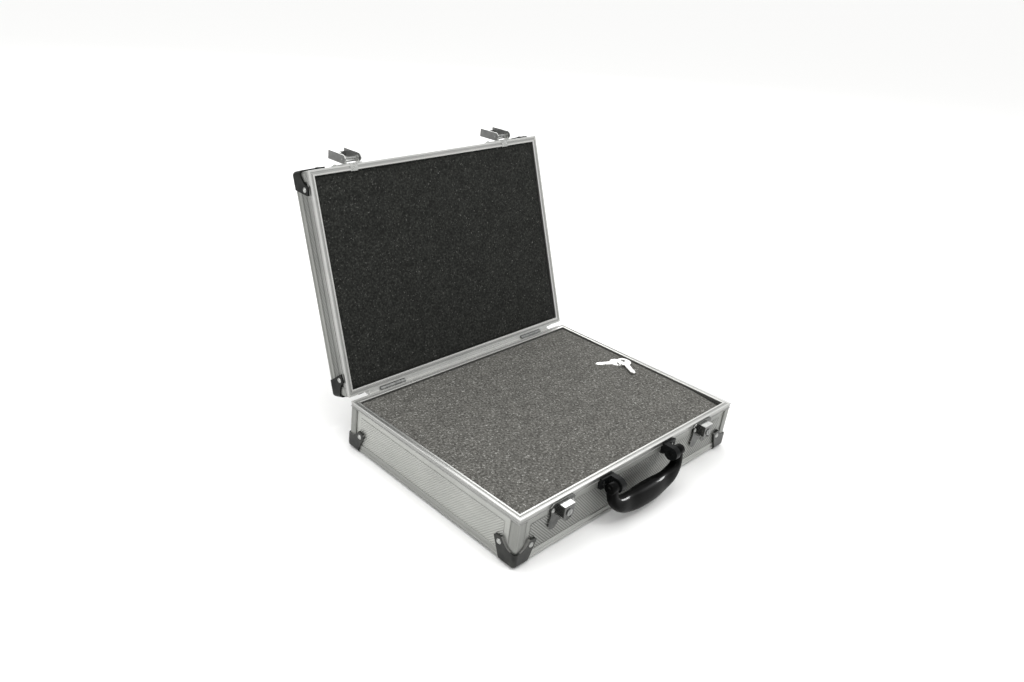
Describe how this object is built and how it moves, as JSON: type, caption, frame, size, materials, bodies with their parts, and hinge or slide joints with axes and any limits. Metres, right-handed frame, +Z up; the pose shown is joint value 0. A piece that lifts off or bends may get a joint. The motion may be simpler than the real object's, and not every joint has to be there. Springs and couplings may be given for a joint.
{
  "type": "multimeter case",
  "caption": "Aluminium framed hard case for a multimeter, standing open: foam in base and lid, ribbed panels, black corner caps, hasp locks, swinging handle.",
  "frame": {"origin": "the middle of the base's footprint, in the plane of the corner caps' feet, on which the case stands", "axes": "+X along the front wall, to the right for someone facing the open case; +Y from the front wall to the hinges; +Z up"},
  "size_m": [0.3662, 0.3947, 0.3039],
  "materials": {
    "panel_skin": "aluminium skinned panel, embossed with fine diagonal ribs, satin",
    "frame_profile": "extruded aluminium, clear anodised, satin, drawn lines along its length",
    "corner_cap": "black moulded plastic, fine grain, half matte",
    "base_foam": "charcoal open-cell foam, soft and light, matte",
    "lid_foam": "charcoal open-cell foam, soft and light, matte",
    "bracket": "black moulded plastic, half matte",
    "handle_grip": "black moulded plastic, glossy",
    "rivet_metal": "nickel plated steel rivet, bright",
    "lock_chrome": "pressed steel, nickel plated, bright",
    "cylinder_metal": "turned steel, plated, satin face",
    "key_metal": "stamped key, nickel plated, lightly worn",
    "hinge_metal": "steel, zinc plated, satin"
  },
  "bodies": {
    "base": {"base_bottom_panel": "panel_skin", "base_front_panel": "panel_skin", "base_back_panel": "panel_skin", "base_left_panel": "panel_skin", "base_right_panel": "panel_skin", "base_front_rim": "frame_profile", "base_back_rim": "frame_profile", "base_left_rim": "frame_profile", "base_right_rim": "frame_profile", "base_front_edge": "frame_profile", "base_back_edge": "frame_profile", "base_left_edge": "frame_profile", "base_right_edge": "frame_profile", "base_corner_posts": "frame_profile", "base_corner_caps": "corner_cap", "base_cap_rivets": "rivet_metal", "base_foam": "base_foam", "base_hinge_leaves": "hinge_metal", "hinge_pins": "hinge_metal", "base_hinge_rivets": "rivet_metal", "lock_plates": "lock_chrome", "left_lock_case": "lock_chrome", "right_lock_case": "lock_chrome", "lock_rivets": "rivet_metal", "left_handle_bracket": "bracket", "right_handle_bracket": "bracket", "handle_rivets": "rivet_metal", "handle_pins": "hinge_metal", "left_key": "key_metal", "right_key": "key_metal"},
    "lid": {"lid_top_panel": "panel_skin", "lid_front_panel": "panel_skin", "lid_back_panel": "panel_skin", "lid_left_panel": "panel_skin", "lid_right_panel": "panel_skin", "lid_front_rim": "frame_profile", "lid_back_rim": "frame_profile", "lid_left_rim": "frame_profile", "lid_right_rim": "frame_profile", "lid_front_edge": "frame_profile", "lid_back_edge": "frame_profile", "lid_left_edge": "frame_profile", "lid_right_edge": "frame_profile", "lid_corner_posts": "frame_profile", "lid_corner_caps": "corner_cap", "lid_cap_rivets": "rivet_metal", "lid_foam": "lid_foam", "lid_hinge_leaves": "hinge_metal", "lid_hinge_rivets": "rivet_metal", "hasp_plates": "lock_chrome", "hasp_rivets": "rivet_metal", "hasp_pins": "hinge_metal"},
    "handle": {"handle": "handle_grip"},
    "left_cylinder": {"left_lock_cylinder": "cylinder_metal"},
    "right_cylinder": {"right_lock_cylinder": "cylinder_metal"},
    "left_hasp": {"left_hasp": "lock_chrome"},
    "right_hasp": {"right_hasp": "lock_chrome"}
  },
  "joints": [
    {"name": "lid_hinge", "type": "hinge", "parent": "base", "child": "lid", "pos_m": [0, 0.1275, 0.0569], "axis": [1, 0, 0], "range_deg": [0, 110]},
    {"name": "left_hasp_hinge", "type": "hinge", "parent": "lid", "child": "left_hasp", "pos_m": [-0.12, 0.21943, 0.29896], "axis": [1, 0, 0], "range_deg": [-20, 160]},
    {"name": "right_hasp_hinge", "type": "hinge", "parent": "lid", "child": "right_hasp", "pos_m": [0.12, 0.21943, 0.29896], "axis": [1, 0, 0], "range_deg": [-20, 160]},
    {"name": "handle_swing", "type": "hinge", "parent": "base", "child": "handle", "pos_m": [0, -0.136, 0.0463], "axis": [-1, 0, 0], "range_deg": [-10, 85]},
    {"name": "left_lock_turn", "type": "hinge", "parent": "base", "child": "left_cylinder", "pos_m": [-0.12, -0.134, 0.0446], "axis": [0, 1, 0], "range_deg": [0, 90]},
    {"name": "right_lock_turn", "type": "hinge", "parent": "base", "child": "right_cylinder", "pos_m": [0.12, -0.134, 0.0446], "axis": [0, 1, 0], "range_deg": [0, 90]}
  ]
}
